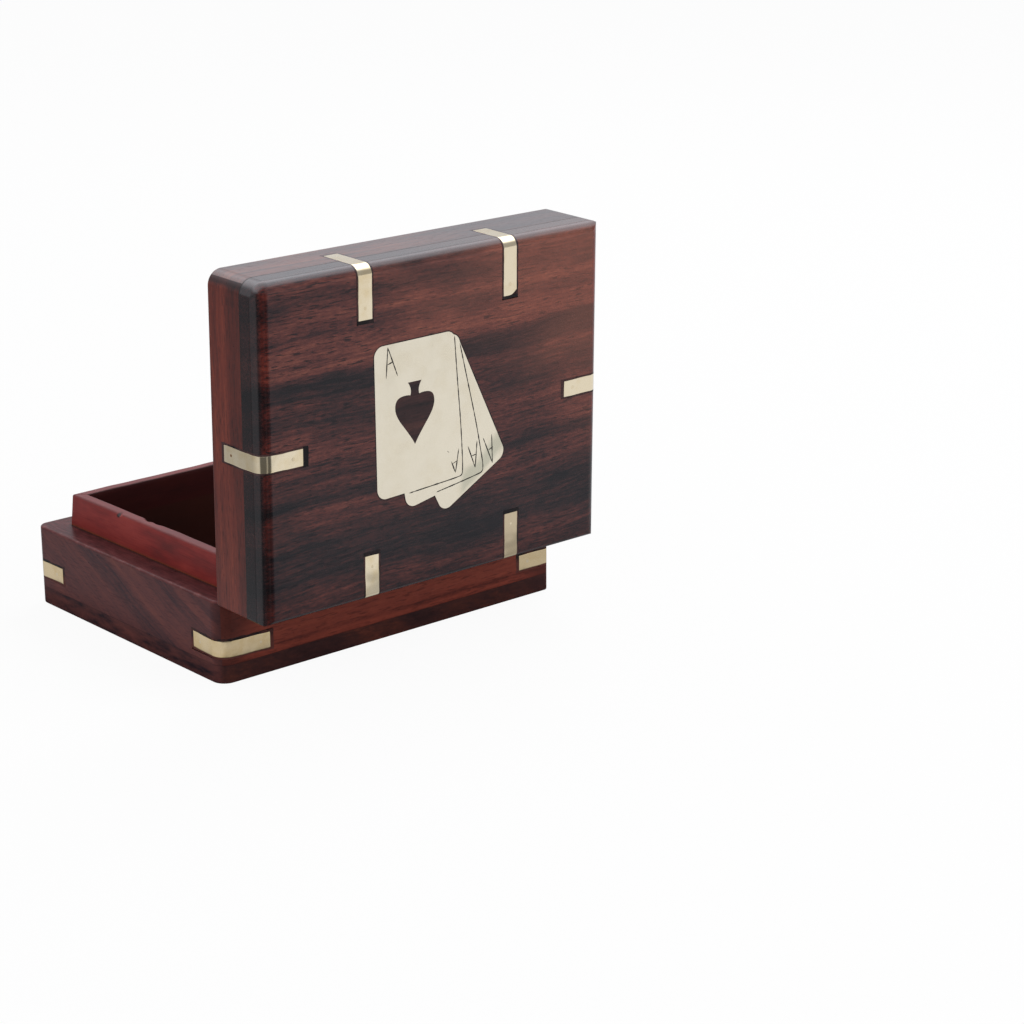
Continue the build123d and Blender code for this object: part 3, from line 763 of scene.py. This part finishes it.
def nail_head(place, name, s):
    """Filed nail head in a strap: a low dome on the strap's face."""
    middle, above = place(name, np.array([s, s]), 0.0, np.array([0.015, 1.015]))
    return dome(middle, above - middle, nail_radius, 0.016)


# Widths of the filler beside the straps and past their ends, with the ends that are wider or narrower
filler_beside = 0.5
filler_above = 0.75
filler_past = 1.05
tray_filler_past = 1.15
lid_end_margins = {"left": 1.7, "front_right": 0.7}
rubbed_ends = ["right"]
lid_fillers, lid_ends, lid_nails, tray_fillers, tray_nails = [], [], [], [], []
for seed, name in enumerate(lid_straps):
    length = lid_strap_length(name)
    block = strap(on_lid_strap, name, length, lid_straps[name][4], 40 + seed * 20)
    piece(f"bent_strap_{name}", [block], strap_brass, "lid", [f"lid_strap_{name}"])
    sides = (filler_beside, filler_beside)
    lid_fillers.append(filler(on_lid_strap, name, length, filler_past, 0.0, *sides, 300 + seed * 20))
    margin = lid_end_margins.get(name, filler_past)
    ends = lid_fillers if name in rubbed_ends else lid_ends
    ends.append(filler(on_lid_strap, name, length, -length, margin, *sides, 300 + seed * 20))
    lid_nails += [nail_head(on_lid_strap, name, s) for s in (nail_from_end, length - nail_from_end)]
for seed, name in enumerate(tray_straps):
    length = tray_strap_length(name)
    block = strap(on_tray_strap, name, length, 0.0, 600 + seed * 20)
    piece(f"corner_strap_{name}", [block], corner_brass, "tray", [f"base_strap_{name}"])
    margins = (filler_past, tray_filler_past, filler_beside, filler_above)
    tray_fillers.append(filler(on_tray_strap, name, length, *margins, 800 + seed * 20))
    tray_nails += [nail_head(on_tray_strap, name, s) for s in (nail_from_end, length - nail_from_end)]
piece("lid_filler_beds", lid_fillers, lid_filler, "lid", ["lid_strap_filler"])
piece("lid_filler_ends", lid_ends, end_filler, "lid", [])
piece("lid_nail_heads", lid_nails, nail_brass, "lid", ["lid_strap_pins"])
piece("tray_filler_beds", tray_fillers, tray_filler, "tray", ["base_strap_filler"])
piece("tray_nail_heads", tray_nails, nail_brass, "tray", ["base_strap_pins"])


# Engraving on the card plate
def smoothed(line, rounds):
    """Line with its corners cut: each round puts points at a quarter and three quarters of every span."""
    line = np.asarray(line, float)
    for _ in range(rounds):
        inner = np.stack([line[:-1] * 0.75 + line[1:] * 0.25, line[:-1] * 0.25 + line[1:] * 0.75], 1)
        line = np.concatenate([line[:1], inner.reshape(-1, 2), line[-1:]])
    return line


def stroke(line, width, seed, rounds=2):
    """Graver's cut on the plate: a ribbon along a line, tapered to both ends and a little uneven."""
    corner = smoothed(line, rounds)
    run = np.concatenate([[0], np.cumsum(np.linalg.norm(np.diff(corner, axis=0), axis=1))])
    s = np.linspace(0, run[-1], max(24, int(run[-1] * 4)))
    x, y = (np.interp(s, run, corner[:, k]) for k in (0, 1))
    heading = np.stack([np.gradient(x), np.gradient(y)], -1)
    heading /= np.linalg.norm(heading, axis=1, keepdims=True)
    taper = np.clip(np.minimum(s, run[-1] - s) / 0.9, 0.12, 1) ** 0.6
    half = (width / 2 * taper * (1 + 0.25 * wobble(s, seed, 5.0)))[:, None]
    w = np.array([-1, -0.7, 0, 0.7, 1])[None]
    h = np.array([-0.02, 0.004, 0.008, 0.004, -0.02])[None]
    across_x, across_y = -heading[:, 1:], heading[:, :1]
    return bar(opened(x[:, None] + across_x * w * half, y[:, None] + across_y * w * half, lid_height + h))


card_edges = [
    [
        (5.5, 20.9), (6.5, 8.7), (7.6, -2.5), (8.2, -13.0), (8.2, -15.0), (8.1, -16.9), (6.4, -17.2),
        (0, -17.6), (-9.7, -18.2),
    ],
    [
        (7.3, 18.6), (10.0, 7.7), (12.8, -3.5), (14.6, -12.5), (15.2, -15.6), (15.0, -17.4), (13.2, -17.8),
        (6, -18.9), (-0.6, -19.8),
    ],
]
ace_marks = [
    [[(-16.2, 21.5), (-16.8, 13.4)], [(-16.2, 21.5), (-13.1, 13.6)], [(-16.4, 17.0), (-14.5, 17.6)]],
    [[(5.8, -15.8), (6.9, -9.5)], [(5.8, -15.8), (4.4, -12.5)], [(4.9, -13.2), (6.6, -12.6)]],
    [[(12.5, -15.8), (13.1, -8.6)], [(12.5, -15.8), (10.0, -9.5)], [(11.2, -12.4), (12.9, -12.2)]],
    [[(18.4, -15.7), (18.1, -7.7)], [(18.4, -15.7), (15.2, -8.3)], [(16.8, -12.0), (18.6, -11.3)]],
]
slip = [[(3.1, -9.5), (3.6, -9.9)]]
edge_cut = 0.42
mark_cut = 0.44
cuts = [stroke(line, edge_cut, 900 + k) for k, line in enumerate(card_edges)]
cuts += [stroke(line, mark_cut, 920 + k, 1) for k, line in enumerate(sum(ace_marks, slip))]
piece("plate_engraving", cuts, engraved, "lid", [])


# Liner strips: rounding of the lip's outer and inner arris, depth that is worn, width of a chip
outer_round = 0.55
inner_round = 0.5
worn_depth = 1.2
chip_width = 0.75


def liner_strip(side_x, side_y, seed, chips):
    """Mitred strip with a tapered lip and worn edges.

    The section runs up the outer face, over the rounded top and down the inner face. It is carried along
    the side and shortened by its own offset at the mitres. Chips are smooth hollows (place, reach, depth,
    edge) pressed into the outer (edge 0) or inner (edge 1) arris.
    """
    half_run = (half_depth if side_x else half_length) - wall_thickness
    span = (half_length if side_x else half_depth) - wall_thickness
    lift = np.array([0, 0, 0.1, 0.35, 0.6, 0.8, 0.9, 0.96])
    outer_z = np.concatenate([[bottom_top], rim_z + (lip_z - outer_round - rim_z) * lift[1:] / lift[-1]])
    outer_in = lip_taper * np.clip((outer_z - rim_z) / (lip_z - rim_z), 0, 1)
    arc = np.linspace(0, np.pi / 2, 6)[1:]
    over_in = lip_taper + outer_round * (1 - np.cos(arc))
    over_z = lip_z - outer_round + outer_round * np.sin(arc)
    flat_in = np.linspace(lip_taper + 0.8, liner_thickness - 0.7, 5)
    back_in = liner_thickness - inner_round + inner_round * np.sin(arc - arc[0])
    back_z = lip_z - inner_round + inner_round * np.cos(arc - arc[0])
    section_in = np.concatenate([outer_in, over_in, flat_in, back_in, np.full(4, liner_thickness)])
    inner_z = [lip_z - 1.5, lip_z - 5, 14, bottom_top]
    section_z = np.concatenate([outer_z, over_z, np.full(5, lip_z), back_z, inner_z])
    v = np.linspace(-1, 1, 150)[:, None]
    inset, height = section_in[None], section_z[None]
    run = v * (half_run - inset)
    near_top = np.clip((height - lip_z + worn_depth) / worn_depth, 0, 1)
    height = height - near_top * (0.06 + 0.05 * wobble(run, seed, 31.0))
    for where, reach, depth, edge in chips:
        arris = lip_taper if edge == 0 else liner_thickness
        close = np.exp(-(((run - where) / reach) ** 2) - ((inset - arris) / chip_width) ** 2)
        height = height - depth * close * near_top
    out = span - inset
    x = side_x * out + (0 if side_x else 1) * run
    y = side_y * out + (0 if side_y else 1) * run
    return bar(np.stack(np.broadcast_arrays(x, y, height), -1))


left_chips = [(12.9, 1.0, 0.8, 0), (3.6, 0.7, 1.0, 1), (2.2, 0.7, 1.1, 1), (-1.0, 2.2, 0.4, 1)]
liner_strips = {
    "left": (-1, 0, 11, left_chips, liner_left_wood),
    "right": (1, 0, 12, [(-20.0, 1.0, 0.4, 0)], liner_right_wood),
    "front": (0, 1, 13, [(18.0, 1.2, 0.4, 1)], liner_long_wood),
    "back": (0, -1, 14, [(-30.0, 1.0, 0.4, 0)], liner_long_wood),
}
for side, (side_x, side_y, seed, chips, wood) in liner_strips.items():
    strip = liner_strip(side_x, side_y, seed, chips)
    piece(f"lip_strip_{side}", [strip], wood, "tray", [f"liner_{side}"])

# Floor: white to the camera with the shadow kept, a pale room to the reflections
floor_half = 4
floor_z = -0.00005
floor_signs = [(-1, -1), (1, -1), (1, 1), (-1, 1)]
floor_corners = [(x * floor_half, y * floor_half, floor_z) for x, y in floor_signs]
floor_mesh = bpy.data.meshes.new("floor")
floor_mesh.from_pydata(floor_corners, [], [(0, 1, 2, 3)])
floor = bpy.data.objects.new("floor", floor_mesh)
bpy.context.scene.collection.objects.link(floor)
ground = Finish("floor_white")
ground.set(Base_Color=tone(232, 232, 234), Roughness=0.9)
ground_spot = ground.place()
lid_face_beyond = 11
from_corner = {0: ground_spot["Y"] + (half_depth + lid_face_beyond), 1: ground_spot["X"] + half_length}
bearing = ground.node("ShaderNodeMath", {"operation": "ARCTAN2"}, from_corner)
round_the_room = [
    (0.00, 0.62), (0.055, 0.62), (0.08, 0.12), (0.215, 0.12), (0.228, 0.36), (0.246, 0.36), (0.26, 0.10),
    (0.318, 0.12), (0.345, 0.84), (0.50, 0.84), (0.70, 0.60), (0.78, 0.48), (0.863, 0.42), (0.95, 0.54),
    (1.00, 0.60),
]
room = ground.levels(bearing / (2 * math.pi) + 0.5, round_the_room)
beside_x = (abs(ground_spot["X"]) - half_length).at_least(0.0)
beside_y = (abs(ground_spot["Y"]) - half_depth).at_least(0.0)
clear = (beside_x * beside_x + beside_y * beside_y).root()
in_front = ground_spot["X"].step(-half_length - 14, -half_length - 2)
away = clear / 120.0
far_front = ground.levels(away, [(0.40, 0.52), (0.635, 0.60), (0.67, 1.0)])
far_left = ground.levels(away, [(0.30, 1.35), (0.70, 1.0)])
far_level = room * (far_front * in_front + far_left * (1 - in_front))
close_front = ground.levels(away, [(0.0, 0.07), (0.09, 0.12), (0.15, 0.54)])
close_left = ground.levels(away, [(0.0, 0.14), (0.10, 0.64)])
close_level = close_front * in_front + close_left * (1 - in_front)
far = clear.step(34.0, 56.0)
room_level = far_level * far + close_level * (1 - far)
white_glow = ground.node("ShaderNodeEmission", None, {"Color": (1, 1, 1, 1), "Strength": 1.0})
room_colour = ground.mix(1.0, (0.97, 0.985, 1.03, 1), room_level, "MULTIPLY")
room_glow = ground.node("ShaderNodeEmission", None, {"Color": room_colour, "Strength": 1.0})
matt = Flow(ground, ground.surface.outputs[0])
whiteness = ground.rays("Camera") * 0.94
shaded = ground.node("ShaderNodeMixShader", None, {0: whiteness, 1: matt, 2: white_glow})
shaded = ground.node("ShaderNodeMixShader", None, {0: ground.rays("Glossy"), 1: shaded, 2: room_glow})
ground.plug(ground.tree.nodes["Material Output"].inputs["Surface"], shaded)
floor_mesh.materials.append(ground.material)


# Light
def looking(forward, roll=0.0):
    """Rotation of a camera or lamp that looks along a direction with its head up."""
    forward = np.asarray(forward, float) / np.linalg.norm(forward)
    right = np.cross(forward, (0, 0, 1))
    right /= np.linalg.norm(right)
    up = np.cross(right, forward)
    level_right = math.cos(roll) * right + math.sin(roll) * up
    head = math.cos(roll) * up - math.sin(roll) * right
    return Matrix(np.stack([level_right, head, -forward], 1).tolist()).to_euler()


def softbox(name, place, width, height, power):
    """Area lamp at a place, facing the box. Reflections see the pale room in its place."""
    lamp = bpy.data.lights.new(name, "AREA")
    lamp.shape = "RECTANGLE"
    lamp.size = width
    lamp.size_y = height
    lamp.energy = power
    made = bpy.data.objects.new(name, lamp)
    bpy.context.scene.collection.objects.link(made)
    made.location = place
    made.rotation_euler = looking(np.array([0, 0, 0.05]) - place)
    made.visible_glossy = False


softbox("key_light", (0.55, -0.95, 0.75), 0.8, 0.7, 7.0)
softbox("top_light", (0.60, 0.25, 0.80), 0.55, 0.45, 3.2)
softbox("fill_light", (-1.0, -0.55, 0.55), 0.7, 0.7, 2.0)

# World: a plain level on the object, white to the camera, a bright ceiling behind the box to the reflections
world = bpy.data.worlds.new("studio")
bpy.context.scene.world = world
world.use_nodes = True
sky = Nodes(world.node_tree)
heading = sky.node("ShaderNodeTexCoord", output="Generated")
towards_back = sky.node("ShaderNodeSeparateXYZ", None, {0: heading}, "Y")
high = sky.node("ShaderNodeSeparateXYZ", None, {0: heading}, "Z").step(0.38, 0.72)
ceiling = towards_back.step(-0.05, 0.12) * 0.34 + towards_back.step(-0.72, -0.25) * high * 2.0 + 0.40
glossy_level = sky.mix(1.0, (0.96, 0.98, 1.04, 1), ceiling, "MULTIPLY")
sky_level = sky.mix(sky.rays("Glossy"), (0.55, 0.55, 0.55, 1), glossy_level)
sky_level = sky.mix(sky.rays("Camera"), sky_level, (1, 1, 1, 1))
sky.plug(sky.tree.nodes["Background"].inputs["Color"], sky_level)

# Camera fitted to the straight edges of the box, focal length in pixels of a 1024 frame
frame_pixels = 1024
focal_pixels = 2688.5
camera_place = (-0.41945, -0.57827, 0.25392)
yaw, pitch, roll = (math.radians(angle) for angle in (40.841, 17.895, -0.328))
lens = bpy.data.cameras.new("photo_camera")
lens.sensor_width = 36.0
lens.lens = focal_pixels / frame_pixels * lens.sensor_width
camera = bpy.data.objects.new("photo_camera", lens)
bpy.context.scene.collection.objects.link(camera)
view = (math.sin(yaw) * math.cos(pitch), math.cos(yaw) * math.cos(pitch), -math.sin(pitch))
camera.rotation_euler = looking(view, roll)
camera.location = camera_place
bpy.context.scene.camera = camera
bpy.context.scene.view_settings.view_transform = "Standard"
